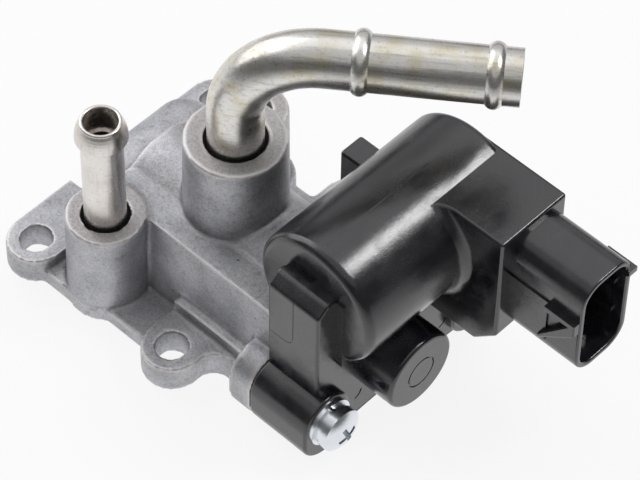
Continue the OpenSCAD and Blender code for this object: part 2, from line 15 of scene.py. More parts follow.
import bmesh
import bpy
import numpy as np
from mathutils import Matrix, Vector


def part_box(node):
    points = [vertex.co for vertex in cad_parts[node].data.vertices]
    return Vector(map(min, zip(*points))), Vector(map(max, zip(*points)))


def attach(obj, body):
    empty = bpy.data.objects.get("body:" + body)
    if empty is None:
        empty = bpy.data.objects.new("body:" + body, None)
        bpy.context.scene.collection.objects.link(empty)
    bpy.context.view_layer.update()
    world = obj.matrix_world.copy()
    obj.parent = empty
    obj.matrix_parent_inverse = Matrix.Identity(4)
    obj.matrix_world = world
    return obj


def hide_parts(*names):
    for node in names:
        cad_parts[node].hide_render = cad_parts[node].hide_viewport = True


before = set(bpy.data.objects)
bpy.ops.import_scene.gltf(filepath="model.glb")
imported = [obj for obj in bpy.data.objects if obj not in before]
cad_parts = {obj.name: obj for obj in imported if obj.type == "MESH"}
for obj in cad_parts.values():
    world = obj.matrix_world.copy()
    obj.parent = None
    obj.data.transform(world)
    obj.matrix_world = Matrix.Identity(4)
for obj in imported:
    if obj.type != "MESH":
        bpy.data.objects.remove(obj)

log = logging.getLogger("valve")

MM = 0.001
HOUSING = "housing"
# attribute of how far each vertex stands out: convex edges get wear and a painted highlight,
# hollows are darkened
WEAR_AND_HIGHLIGHT = "wear"
PIPE_X = 12.7
Colour = tuple[float, float, float]
WHITE: Colour = (1.0, 1.0, 1.0)


class Volume(Enum):
    """What a boolean does with the other object's volume."""

    ADD = "UNION"
    TAKE = "DIFFERENCE"
    KEEP = "INTERSECT"


# Shader maths


class Signal:
    """One shader value; arithmetic on it adds the Math nodes it needs."""

    def __init__(self, paint: "Wiring", socket: bpy.types.NodeSocket) -> None:
        """Wraps an output socket of a node tree."""
        self.paint = paint
        self.socket = socket

    def _math(self, operation: str, *values: "Signal | float") -> "Signal":
        """Adds one Math node.

        Args:
            operation: Blender's name of the operation.
            *values: the node's inputs, in order.

        Returns:
            The node's result.
        """
        return self.paint.value("ShaderNodeMath", {"operation": operation}, dict(enumerate(values)))

    def __add__(self, other: "Signal | float") -> "Signal":
        """Sum."""
        return self._math("ADD", self, other)

    __radd__ = __add__

    def __sub__(self, other: "Signal | float") -> "Signal":
        """Difference."""
        return self._math("SUBTRACT", self, other)

    def __rsub__(self, other: float) -> "Signal":
        """Difference from a number."""
        return self._math("SUBTRACT", other, self)

    def __mul__(self, other: "Signal | float") -> "Signal":
        """Product."""
        return self._math("MULTIPLY", self, other)

    __rmul__ = __mul__

    def __truediv__(self, other: "Signal | float") -> "Signal":
        """Quotient."""
        return self._math("DIVIDE", self, other)

    def __pow__(self, other: float) -> "Signal":
        """Power."""
        return self._math("POWER", self, other)

    def __gt__(self, other: "Signal | float") -> "Signal":
        """One where the value is above the other, else nought."""
        return self._math("GREATER_THAN", self, other)

    def __lt__(self, other: "Signal | float") -> "Signal":
        """One where the value is below the other, else nought."""
        return self._math("LESS_THAN", self, other)

    def sine(self) -> "Signal":
        """Sine of the value in radians."""
        return self._math("SINE", self)

    def angle(self, other: "Signal") -> "Signal":
        """Angle in radians whose tangent is this value over the other."""
        return self._math("ARCTAN2", self, other)

    def larger(self, other: "Signal | float") -> "Signal":
        """The larger of two values."""
        return self._math("MAXIMUM", self, other)

    def ramp(self, low: float, high: float) -> "Signal":
        """Smooth step from nought at low to one at high.

        Args:
            low: value where the step starts.
            high: value where it ends; it may lie below low.

        Returns:
            The step, kept between nought and one.
        """
        return self.paint.value(
            "ShaderNodeMapRange",
            {"interpolation_type": "SMOOTHSTEP"},
            {"Value": self, "From Min": low, "From Max": high},
        )


Feed = Signal | bpy.types.NodeSocket | float | Sequence[float]


class Wiring:
    """A node tree and the tools that add nodes to it."""

    def __init__(self, tree: bpy.types.NodeTree) -> None:
        """Takes the tree."""
        self.tree = tree

    def feed(self, socket: bpy.types.NodeSocket, value: Feed) -> None:
        """Sets or links one input socket.

        Args:
            socket: the input.
            value: a signal, an output socket, a number or a row of numbers.
        """
        if isinstance(value, Signal):
            self.tree.links.new(value.socket, socket)
        elif isinstance(value, bpy.types.NodeSocket):
            self.tree.links.new(value, socket)
        elif socket.type == "RGBA" and not isinstance(value, (int, float)):
            socket.default_value = (*value, 1.0)
        else:
            socket.default_value = value

    def node(
        self,
        kind: str,
        settings: dict[str, object] | None = None,
        inputs: dict[int | str, Feed] | None = None,
    ) -> bpy.types.Node:
        """Adds a node.

        Args:
            kind: Blender's type of the node.
            settings: its settings, set first.
            inputs: its inputs by name or number.

        Returns:
            The new node.
        """
        made = self.tree.nodes.new(kind)
        for key, setting in (settings or {}).items():
            setattr(made, key, setting)
        for key, value in (inputs or {}).items():
            self.feed(made.inputs[key], value)
        return made

    def value(
        self, kind: str, settings: dict[str, object], inputs: dict[int | str, Feed]
    ) -> Signal:
        """Adds a node and gives its first output as a signal."""
        return Signal(self, self.node(kind, settings, inputs).outputs[0])

    def ray(self, kind: str) -> Signal:
        """One where the ray is of that kind, else nought."""
        return Signal(self, self.node("ShaderNodeLightPath").outputs[kind])

    def mirrored(self) -> Signal:
        """One where gloss or glass shows the surface, else nought."""
        return self.ray("Is Glossy Ray").larger(self.ray("Is Transmission Ray"))


class Paint(Wiring):
    """One material and the nodes that make it."""

    def __init__(self, name: str) -> None:
        """Starts a material of that name with its shader and its output."""
        self.material = bpy.data.materials.new(name)
        self.material.use_nodes = True
        super().__init__(self.material.node_tree)
        self.tree.nodes.clear()
        self.shader = self.tree.nodes.new("ShaderNodeBsdfPrincipled")
        self.output = self.tree.nodes.new("ShaderNodeOutputMaterial")
        self.show(self.shader)
        self._place: tuple[Signal, Signal, Signal] | None = None

    def show(self, shader: bpy.types.Node) -> None:
        """Links a shader node to the material's surface."""
        self.tree.links.new(shader.outputs[0], self.output.inputs["Surface"])

    def _where(self) -> bpy.types.NodeSocket:
        """Object coordinates, which every pattern reads."""
        return self.node("ShaderNodeTexCoord").outputs["Object"]

    def attribute(self, name: str) -> Signal:
        """Value of a mesh attribute."""
        made = self.node("ShaderNodeAttribute", {"attribute_name": name})
        return Signal(self, made.outputs["Fac"])

    def place(self) -> tuple[Signal, Signal, Signal]:
        """Object coordinates of the surface, in millimetres.

        Returns:
            X, Y and Z as signals.
        """
        if self._place is None:
            split = self.node("ShaderNodeSeparateXYZ", inputs={0: self._where()})
            x, y, z = (Signal(self, out) / MM for out in split.outputs)
            self._place = (x, y, z)
        return self._place

    def noise(
        self,
        grain: float,
        detail: float = 3.0,
        stretch: tuple[float, float, float] = (1.0, 1.0, 1.0),
        turn: float = 0.0,
    ) -> Signal:
        """Cloudy noise between nought and one.

        Args:
            grain: size of its spots, in millimetres.
            detail: how many finer layers it has.
            stretch: how much longer the spots are along each axis.
            turn: turn of the pattern about Z, in radians.

        Returns:
            The noise.
        """
        scale = [1.0 / (grain * MM * part) for part in stretch]
        turned = self.node(
            "ShaderNodeMapping",
            {"vector_type": "POINT"},
            {"Vector": self._where(), "Rotation": (0.0, 0.0, -turn)},
        )
        sized = self.node(
            "ShaderNodeVectorMath",
            {"operation": "MULTIPLY"},
            {0: turned.outputs[0], 1: scale},
        )
        made = self.node(
            "ShaderNodeTexNoise",
            inputs={"Vector": sized.outputs[0], "Scale": 1.0, "Detail": detail},
        )
        return Signal(self, made.outputs[0])

    def layer(
        self,
        layer: "Layer",
        stretch: tuple[float, float, float] = (1.0, 1.0, 1.0),
        turn: float = 0.0,
    ) -> Signal:
        """Noise of a layer; stretch and turn are as for noise."""
        return self.noise(layer.grain, layer.detail, stretch, turn)

    def specks(self, spacing: float, size: float) -> Signal:
        """Sparse round specks.

        Args:
            spacing: mean distance between specks, in millimetres.
            size: radius of a speck as a share of the spacing.

        Returns:
            One in the middle of a speck, nought outside it.
        """
        full = 0.3
        cells = self.node(
            "ShaderNodeTexVoronoi",
            inputs={"Vector": self._where(), "Scale": 1.0 / (spacing * MM)},
        )
        return Signal(self, cells.outputs["Distance"]).ramp(size, size * full)

    def mix(self, factor: Feed, low: Feed, high: Feed) -> bpy.types.NodeSocket:
        """Mixes two colours.

        Args:
            factor: nought for the low colour, one for the high one.
            low: first colour.
            high: second colour.

        Returns:
            The mixed colour.
        """
        settings = {"data_type": "RGBA", "clamp_factor": True}
        made = self.node("ShaderNodeMix", settings, {0: factor, 6: low, 7: high})
        return made.outputs[2]

    def relief(self, height: Signal, depth: float) -> bpy.types.NodeSocket:
        """Bumps the surface.

        Args:
            height: relief between nought and one.
            depth: its depth in millimetres.

        Returns:
            The bumped normal.
        """
        made = self.node("ShaderNodeBump", inputs={"Height": height, "Distance": depth * MM})
        return made.outputs[0]

    def finish(self, **parts: Feed) -> bpy.types.Material:
        """Feeds the shader and gives the material.

        Args:
            **parts: inputs of the shader, with spaces written as underscores.

        Returns:
            The finished material.
        """
        for key, value in parts.items():
            self.feed(self.shader.inputs[key.replace("_", " ")], value)
        return self.material


# Finishes


@dataclass(frozen=True)
class Layer:
    """A noise, the step that picks its spots, and how strongly they tint a colour."""

    grain: float
    detail: float
    start: float
    full: float
    share: float = 1.0

    def mask(self, noise: Signal) -> Signal:
        """Where the layer's noise tints, and how much."""
        return noise.ramp(self.start, self.full) * self.share


@dataclass(frozen=True)
class Finish:
    """A plain finish with a faint wear in its gloss."""

    name: str
    colour: Colour
    metal: float
    rough: float
    grain: float = 1.5
    depth: float = 0.01
    slot: str = ""
    swing: float = 0.14
    darker: float = 0.82

    def material(self) -> bpy.types.Material:
        """Builds the material.

        Returns:
            A material whose gloss and colour vary a little.
        """
        paint = Paint(self.name)
        cloud = paint.noise(self.grain * 4)
        fine = paint.noise(self.grain * 0.3, 2.0)
        dark = tuple(part * self.darker for part in self.colour)
        return paint.finish(
            Base_Color=paint.mix(cloud, dark, self.colour),
            Metallic=self.metal,
            Roughness=cloud * self.swing + (self.rough - self.swing / 2),
            Normal=paint.relief(fine, self.depth),
        )


@dataclass(frozen=True)
class FacedBoss:
    """A boss whose top was faced by a cutter, with the radius of the painted shadow in the recess
    round its tube, in millimetres.
    """

    x: float
    y: float
    radius: float
    top: float
    # radius of the painted shadow in the recess round the tube
    recess_shadow: float = 0.0


@dataclass(frozen=True)
class CastFinish(Finish):
    """Die-cast aluminium: fine grain, flow clouds, small pits and faced boss tops, with painted
    shadow in the recesses round the tubes, edges lightened for wear and a painted highlight, and
    darker hollows.
    """

    shade: Colour = (0.365, 0.372, 0.4)
    faced: Colour = (0.42, 0.39, 0.39)
    dirt: Colour = (0.16, 0.155, 0.165)
    # lighter colour of the sand specks, and of the worn edges with their painted highlight
    worn_and_highlight: Colour = (0.72, 0.69, 0.69)
    pit_and_recess_shadow: Colour = (0.02, 0.02, 0.02)
    flow: Layer = Layer(9.0, 4.0, 0.34, 0.66)
    stain: Layer = Layer(2.2, 5.0, 0.52, 0.74, 0.4)
    fine: Layer = Layer(0.3, 2.0, 0.38, 0.66, 0.34)
    sand: Layer = Layer(0.65, 3.0, 0.62, 0.44, 0.2)
    edge_wear_and_highlight: tuple[float, float] = (0.0085, 0.0425)
    faced_depth: float = 0.5
    recess_depth: float = 0.2
    bosses: tuple[FacedBoss, ...] = ()

    def _faced_and_recess_shadow(self, paint: Paint) -> tuple[Signal, Signal]:
        """Where the bosses are faced, and where painted shadow darkens their recesses.

        Args:
            paint: the material.

        Returns:
            The faced rings and the painted shadow in the recesses, each one inside and nought
            outside.
        """
        x, y, z = paint.place()
        faced, recess_shadows = [], []
        for boss in self.bosses:
            dx, dy = x - boss.x, y - boss.y
            away = (dx * dx + dy * dy) ** 0.5
            faced.append((z > boss.top - self.faced_depth) * (away < boss.radius))
            recess_shadows.append((z < boss.top - self.recess_depth) * (away < boss.recess_shadow))
        return reduce(Signal.larger, faced), reduce(Signal.larger, recess_shadows) * (z > 0.0)

    def material(self) -> bpy.types.Material:
        """Builds the material.

        Returns:
            Cast metal, smoother and warmer on the faced rings.
        """
        paint = Paint(self.name)
        flow, stain = paint.layer(self.flow), paint.layer(self.stain)
        grain, sand = paint.layer(self.fine), paint.layer(self.sand)
        swell = paint.noise(1.7, 3.0)
        pits = paint.specks(6.5, 0.06)
        faced, recess_shadow = self._faced_and_recess_shadow(paint)
        start, full = self.edge_wear_and_highlight
        edge = paint.attribute(WEAR_AND_HIGHLIGHT)
        skin = paint.mix(self.flow.mask(flow), self.shade, self.colour)
        skin = paint.mix(self.stain.mask(stain), skin, self.dirt)
        skin = paint.mix(faced * 0.75, skin, self.faced)
        skin = paint.mix(self.fine.mask(grain), skin, self.dirt)
        skin = paint.mix(self.sand.mask(sand), skin, self.worn_and_highlight)
        # convex edges lighter: wear and a painted highlight
        skin = paint.mix(edge.ramp(start, full) * 0.75, skin, self.worn_and_highlight)
        # darker in the hollows
        skin = paint.mix(edge.ramp(-start, -full) * 0.4, skin, self.dirt)
        # near black pits, and painted shadow in the recesses round the tubes
        skin = paint.mix((pits * 0.7).larger(recess_shadow * 0.93), skin, self.pit_and_recess_shadow)
        relief = grain * 0.55 + sand * 0.5 + swell * 0.45 - pits * 1.2
        return paint.finish(
            Base_Color=skin,
            Metallic=self.metal,
            Roughness=flow * 0.1 + grain * 0.16 + (self.rough - 0.13) + recess_shadow * 0.4,
            Normal=paint.relief(relief * (1.0 - faced * 0.45), self.depth),
        )


@dataclass(frozen=True)
class Bend:
    """A tube's bend in an upright plane, whose inner side is wrinkled; sizes in millimetres."""

    x: float
    turn: float
    radius: float
    height: float
    tube_r: float
    pitch: float = 0.34
    strength: float = 5.0
    inner_side: tuple[float, float] = (0.1, 0.75)
    fade: tuple[float, float] = (-1.0, 3.0)

    def wrinkles(self, paint: Paint) -> Signal:
        """Shallow wrinkles across the inner side of the bend.

        Args:
            paint: the material.

        Returns:
            Their relief, nought outside the bend.
        """
        x, y, z = paint.place()
        out = (x - self.x) * math.cos(self.turn) + y * math.sin(self.turn)
        back, rise = self.radius - out, z - self.height
        away = (back * back + rise * rise) ** 0.5
        start, full = (self.radius - share * self.tube_r for share in self.inner_side)
        inner = away.ramp(start, full)
        within = back.ramp(*self.fade) * rise.ramp(*self.fade)
        waves = (rise.angle(back) / self.pitch * math.tau).sine()
        return waves * inner * within * self.strength


@dataclass(frozen=True)
class TubeFinish(Finish):
    """Plated tube with fine draw lines along its run and cloudy passivation."""

    tint: Colour = (0.62, 0.56, 0.44)
    scuff: Colour = (0.20, 0.19, 0.19)
    stretch: tuple[float, float, float] = (1.0, 1.0, 14.0)
    turn: float = 0.0
    bend: Bend | None = None
    streak: Layer = Layer(0.8, 4.0, 0.52, 0.74, 0.42)
    cloud: Layer = Layer(6.0, 4.0, 0.42, 0.66)
    mottle: Layer = Layer(0.7, 4.0, 0.56, 0.72, 0.3)

    def material(self) -> bpy.types.Material:
        """Builds the material.

        Returns:
            Plated metal with draw lines, scuffs and tinted clouds.
        """
        paint = Paint(self.name)
        lines = paint.noise(0.2, 3.0, self.stretch, self.turn)
        streak = paint.layer(self.streak, self.stretch, self.turn)
        mottle = paint.layer(self.mottle)
        cloud = self.cloud.mask(paint.layer(self.cloud))
        tone = paint.mix(cloud, self.colour, self.tint)
        tone = paint.mix(self.streak.mask(streak), tone, self.scuff)
        tone = paint.mix(self.mottle.mask(mottle), tone, self.scuff)
        relief = lines * 0.6 + streak * 0.7 + mottle * 0.6
        if self.bend:
            relief = relief + self.bend.wrinkles(paint)
        return paint.finish(
            Base_Color=tone,
            Metallic=self.metal,
            Roughness=(lines + mottle) * self.swing + (self.rough - self.swing),
            Normal=paint.relief(relief, self.depth),
        )


@dataclass(frozen=True)
class MouldedFinish(Finish):
    """Glass-filled nylon: near black, with a fine skin and faint flow marks."""

    flow: Colour = (0.024, 0.0235, 0.027)
    fibre: Colour = (0.05, 0.05, 0.055)
    dust: Colour = (0.16, 0.16, 0.16)
    gloss: float = 0.85
    marks: Layer = Layer(5.0, 4.0, 0.35, 0.7)
    skin: Layer = Layer(0.26, 2.0, 0.5, 0.75, 0.35)

    def material(self) -> bpy.types.Material:
        """Builds the material.

        Returns:
            Satin black with a grain and waves that break up its highlights.
        """
        paint = Paint(self.name)
        marks = paint.layer(self.marks, (1.0, 2.0, 1.0))
        waves = paint.noise(2.2, 3.0)
        skin = paint.layer(self.skin)
        dust = paint.specks(1.6, 0.06)
        tone = paint.mix(self.marks.mask(marks), self.colour, self.flow)
        tone = paint.mix(self.skin.mask(skin), tone, self.fibre)
        tone = paint.mix(dust * 0.5, tone, self.dust)
        rough = marks.ramp(0.34, 0.68) * 0.14 + skin * 0.1 + (self.rough - 0.12)
        return paint.finish(
            Base_Color=tone,
            Metallic=0.0,
            Roughness=rough,
            Specular_IOR_Level=self.gloss,
            Normal=paint.relief(skin * 0.6 + waves * 0.8 + marks * 0.6, self.depth),
        )


@dataclass(frozen=True)
class WoundFinish(Finish):
    """Enamelled wire wound side by side along the coil axis."""

    wire: float = 0.5
    groove: Colour = (0.12, 0.04, 0.02)

    def material(self) -> bpy.types.Material:
        """Builds the material.

        Returns:
            Copper with one rounded ridge for each turn.
        """
        paint = Paint(self.name)
        _, y, _ = paint.place()
        ridge = (y * (math.tau / self.wire)).sine() * 0.5 + 0.5
        gap = ridge.ramp(0.25, 0.0)
        return paint.finish(
            Base_Color=paint.mix(gap, self.colour, self.groove),
            Metallic=self.metal,
            Roughness=gap * 0.3 + self.rough,
            Normal=paint.relief(ridge, self.wire / 2),
        )


# Bench


class Bench:
    """Modelling steps done with Blender's own operators; sizes are in millimetres."""

    WELD = 0.002
    SIDES = 64
    LAND_SHARE = 0.36
    LEAST_LAND = 0.9
    WEAR_AND_HIGHLIGHT_LIMIT = 0.085

    @staticmethod
    def only(piece: bpy.types.Object) -> None:
        """Selects one object and makes it active."""
        bpy.ops.object.select_all(action="DESELECT")
        piece.select_set(True)
        bpy.context.view_layer.objects.active = piece

    @staticmethod
    def copy(node: str, name: str) -> bpy.types.Object:
        """Copies a CAD node with its own welded mesh.

        Args:
            node: name of the CAD node.
            name: name of the copy.

        Returns:
            The copy, at the origin and riding on nothing.
        """
        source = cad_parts[node]
        piece = source.copy()
        piece.data = source.data.copy()
        piece.name = piece.data.name = name
        piece.parent = None
        piece.matrix_world = Matrix.Identity(4)
        for key in list(piece.keys()):
            del piece[key]
        bpy.context.scene.collection.objects.link(piece)
        Bench.only(piece)
        bpy.ops.object.mode_set(mode="EDIT")
        bpy.ops.mesh.select_all(action="SELECT")
        bpy.ops.mesh.remove_doubles(threshold=Bench.WELD * MM)
        bpy.ops.object.mode_set(mode="OBJECT")
        bpy.ops.mesh.customdata_custom_splitnormals_clear()
        return piece

    @staticmethod
    def modify(piece: bpy.types.Object, kind: str, **settings: object) -> None:
        """Adds a modifier and applies it.

        Args:
            piece: the object.
            kind: Blender's type of the modifier.
            **settings: the modifier's settings.
        """
        Bench.only(piece)
        bpy.ops.object.modifier_add(type=kind)
        made = piece.modifiers[-1]
        for key, setting in settings.items():
            setattr(made, key, setting)
        bpy.ops.object.modifier_apply(modifier=made.name)

    @staticmethod
    def settle(piece: bpy.types.Object) -> None:
        """Applies an object's place, turn and size to its mesh."""
        Bench.only(piece)
        bpy.ops.object.transform_apply(location=True, rotation=True, scale=True)

    @staticmethod
    def bar(name: str, radius: float, start: Vector, length: float) -> bpy.types.Object:
        """Adds an upright round bar.

        Args:
            name: name of the object.
            radius: its radius.
            start: middle of its lower end.
            length: its length.

        Returns:
            The bar.
        """
        middle = start + Vector((0, 0, length / 2))
        bpy.ops.object.select_all(action="DESELECT")
        bpy.ops.mesh.primitive_cylinder_add(
            vertices=Bench.SIDES,
            radius=radius * MM,
            depth=length * MM,
            location=middle * MM,
        )
        made = bpy.context.active_object
        made.name = made.data.name = name
        Bench.settle(made)
        return made

    @staticmethod
    def join(piece: bpy.types.Object, tool: bpy.types.Object, how: Volume) -> None:
        """Adds, takes off or keeps the tool's volume, and drops the tool.

        Args:
            piece: the object that changes.
            tool: the other object.
            how: what happens with the tool's volume.
        """
        Bench.modify(piece, "BOOLEAN", operation=how.value, object=tool, solver="EXACT")
        bpy.data.objects.remove(tool, do_unlink=True)

    @staticmethod
    def cut(piece: bpy.types.Object, tool: bpy.types.Object) -> None:
        """Takes the tool's volume off the piece and drops the tool."""
        Bench.join(piece, tool, Volume.TAKE)

    @staticmethod
    def _lands(mesh: bmesh.types.BMesh, least: float) -> dict[int, float]:
        """Measures how wide the smooth land is that each face belongs to.

        Args:
            mesh: the mesh.
            least: least angle of an edge that ends a land, in radians.

        Returns:
            Width in metres by face index: twice the land's area over its rim.
        """
        widths: dict[int, float] = {}
        for seed in mesh.faces:
            if seed.index in widths:
                continue
            land, queue, rim, area = {seed.index}, [seed], 0.0, 0.0
            while queue:
                face = queue.pop()
                area += face.calc_area()
                for edge in face.edges:
                    if edge.calc_face_angle(math.pi) >= least:
                        rim += edge.calc_length()
                        continue
                    for other in edge.link_faces:
                        if other.index not in land:
                            land.add(other.index)
                            queue.append(other)
            widths.update(dict.fromkeys(land, 2.0 * area / max(rim, MM)))
        return widths

    @staticmethod
    def soften(piece: bpy.types.Object, width: float, angle: float, steps: int) -> None:
        """Rounds the outer sharp edges, less where a land beside the edge is narrow.

        Args:
            piece: the object.
            width: width of the rounding, in millimetres.
            angle: least angle of a rounded edge, in degrees.
            steps: faces across the rounding.
        """
        mesh = bmesh.new()
        mesh.from_mesh(piece.data)
        mesh.faces.ensure_lookup_table()
        least = math.radians(angle)
        lands = Bench._lands(mesh, least)
        weight = mesh.edges.layers.float.new("bevel_weight_edge")
        for edge in mesh.edges:
            if edge.calc_face_angle(0.0) >= least and edge.is_convex:
                land = min(lands[face.index] for face in edge.link_faces) / MM
                wide = land > Bench.LEAST_LAND
                edge[weight] = min(1.0, Bench.LAND_SHARE * land / width) if wide else 0.0
        mesh.to_mesh(piece.data)
        mesh.free()
        Bench.modify(
            piece,
            "BEVEL",
            width=width * MM,
            limit_method="WEIGHT",
            segments=steps,
            use_clamp_overlap=False,
            miter_outer="MITER_ARC",
        )

    @staticmethod
    def crease_hollows(piece: bpy.types.Object, angle: float) -> None:
        """Keeps the shading crisp at hollow edges, down to a small angle in degrees."""
        mesh = bmesh.new()
        mesh.from_mesh(piece.data)
        for edge in mesh.edges:
            if edge.calc_face_angle_signed(0.0) < -math.radians(angle):
                edge.smooth = False
        mesh.to_mesh(piece.data)
        mesh.free()

    @staticmethod
    def mark_wear_and_highlight(piece: bpy.types.Object, passes: int) -> None:
        """Stores how far each vertex stands out of the surface about it, in millimetres; the cast
        finish lightens the convex edges from it, for wear and a painted highlight, and darkens the
        hollows.

        Args:
            piece: the object, which gets the attribute.
            passes: how often the values are spread to their neighbours.
        """
        mesh = piece.data
        count = len(mesh.vertices)
        places, normals = np.empty(count * 3), np.empty(count * 3)
        ends = np.empty(len(mesh.edges) * 2, dtype=np.int64)
        mesh.vertices.foreach_get("co", places)
        mesh.vertex_normals.foreach_get("vector", normals)
        mesh.edges.foreach_get("vertices", ends)
        first, second = ends[0::2], ends[1::2]
        near = np.bincount(ends, minlength=count)

        def spread(values: np.ndarray) -> np.ndarray:
            """Mean of each vertex's neighbours."""
            total = np.bincount(first, values[second], count)
            return (total + np.bincount(second, values[first], count)) / np.maximum(near, 1)

        places, normals = places.reshape(-1, 3), normals.reshape(-1, 3)
        sides = [(places[:, k] - spread(places[:, k])) * normals[:, k] for k in range(3)]
        wear = np.clip(sum(sides) / MM, -Bench.WEAR_AND_HIGHLIGHT_LIMIT, Bench.WEAR_AND_HIGHLIGHT_LIMIT)
        for _ in range(passes):
            wear = (wear + spread(wear)) / 2
        mesh.attributes.new(WEAR_AND_HIGHLIGHT, "FLOAT", "POINT").data.foreach_set("value", wear)

    @staticmethod
    def block(name: str, low: Vector, high: Vector) -> bpy.types.Object:
        """Adds a box from its lowest to its highest corner, in millimetres."""
        bpy.ops.object.select_all(action="DESELECT")
        bpy.ops.mesh.primitive_cube_add(size=1.0, location=(low + high) / 2 * MM)
        made = bpy.context.active_object
        made.name = made.data.name = name
        made.scale = (high - low) * MM
        Bench.settle(made)
        return made

    @staticmethod
    def smooth(piece: bpy.types.Object, angle: float) -> None:
        """Shades a piece smooth, apart from edges past an angle in degrees."""
        Bench.only(piece)
        bpy.ops.object.shade_smooth_by_angle(angle=math.radians(angle))

    @staticmethod
    def dress(
        piece: bpy.types.Object, finish: Finish, body: str, replaced: Iterable[str] = ()
    ) -> None:
        """Gives a new piece its finish, its body and the nodes it stands for.

        Args:
            piece: the object.
            finish: its finish.
            body: the body it rides on.
            replaced: CAD nodes that it replaces.
        """
        piece.data.materials.clear()
        piece.data.materials.append(finish.material())
        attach(piece, body)
        if replaced:
            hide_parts(*replaced)
        log.info("%s: %d faces", piece.name, len(piece.data.polygons))


# Sub-assemblies


def middle_of(node: str) -> Vector:
    """Middle of a CAD node's box, in millimetres."""
    low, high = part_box(node)
    return (low + high) / (2 * MM)


@dataclass
class CastBody:
    """The die-cast valve body with its soft cast edges and machined holes."""

    hole_x: float = 20.5
    hole_y: float = 27.2
    hole_r: float = 3.5
    voxel: float = 0.5
    passes: int = 5
    wear_and_highlight_passes: int = 2
    sharp: float = 42.0
    nipple_top: float = 25.0
    nipple_r: float = 4.5
    nipple_boss_r: float = 9.3
    pipe_top: float = 44.7
    pipe_r: float = 6.0
    pipe_boss_r: float = 11.6
    rear_top: float = 28.5
    rear: Vector = field(default_factory=lambda: Vector((0.0, 17.8, 0.0)))
    rear_bore_r: float = 4.1
    rear_boss_r: float = 8.4
    rim: float = 0.1
    ring_gap: float = 0.7
    seat_depth: float = 1.6
    reach: float = 3.0
    drill: float = 12.0
    rear_drill: float = 36.0

    def finish(self) -> CastFinish:
        """Cast finish with the faced boss tops and the painted shadow in their recesses at their
        places.
        """
        nipple, pipe = self._nipple_axis(), Vector((PIPE_X, 0.0, 0.0))
        # radii of the painted shadow in the ring recesses round the tubes
        nipple_shadow = self.nipple_r + self.rim + self.ring_gap
        pipe_shadow = self.pipe_r + self.rim + self.ring_gap
        return CastFinish(
            name="cast_aluminium",
            colour=(0.555, 0.562, 0.6),
            metal=0.82,
            rough=0.5,
            depth=0.11,
            slot="cast_aluminium",
            bosses=(
                FacedBoss(nipple.x, nipple.y, self.nipple_boss_r, self.nipple_top, nipple_shadow),
                FacedBoss(pipe.x, pipe.y, self.pipe_boss_r, self.pipe_top, pipe_shadow),
                FacedBoss(self.rear.x, self.rear.y, self.rear_boss_r, self.rear_top),
            ),
        )

    def _nipple_axis(self) -> Vector:
        """Where the straight nipple's axis meets the gasket face."""
        middle = middle_of("straight_nipple")
        return Vector((middle.x, middle.y, 0.0))

    def _recut(self, skin: bpy.types.Object) -> None:
        """Cuts the machined holes afresh, so that their rims are crisp.

        Args:
            skin: the cast skin.
        """
        for sx in (-1, 1):
            for sy in (-1, 1):
                start = Vector((sx * self.hole_x, sy * self.hole_y, -self.reach))
                Bench.cut(skin, Bench.bar("drill", self.hole_r, start, self.drill))
        seats = (
            (self._nipple_axis(), self.nipple_r + self.ring_gap, self.nipple_top),
            (Vector((PIPE_X, 0.0, 0.0)), self.pipe_r + self.ring_gap, self.pipe_top),
        )
        for axis, radius, top in seats:
            start = axis + Vector((0, 0, top - self.seat_depth))
            Bench.cut(skin, Bench.bar("seat", radius, start, self.seat_depth + self.reach))
        start = self.rear + Vector((0, 0, -self.reach))
        Bench.cut(skin, Bench.bar("bore", self.rear_bore_r, start, self.rear_drill))

    def build(self) -> None:
        """Builds and dresses the cast skin."""
        skin = Bench.copy("valve_body", "cast_skin")
        Bench.modify(skin, "REMESH", mode="VOXEL", voxel_size=self.voxel * MM)
        Bench.modify(skin, "SMOOTH", factor=0.5, iterations=self.passes)
        Bench.mark_wear_and_highlight(skin, self.wear_and_highlight_passes)
        self._recut(skin)
        Bench.smooth(skin, self.sharp)
        Bench.dress(skin, self.finish(), HOUSING, ["valve_body"])


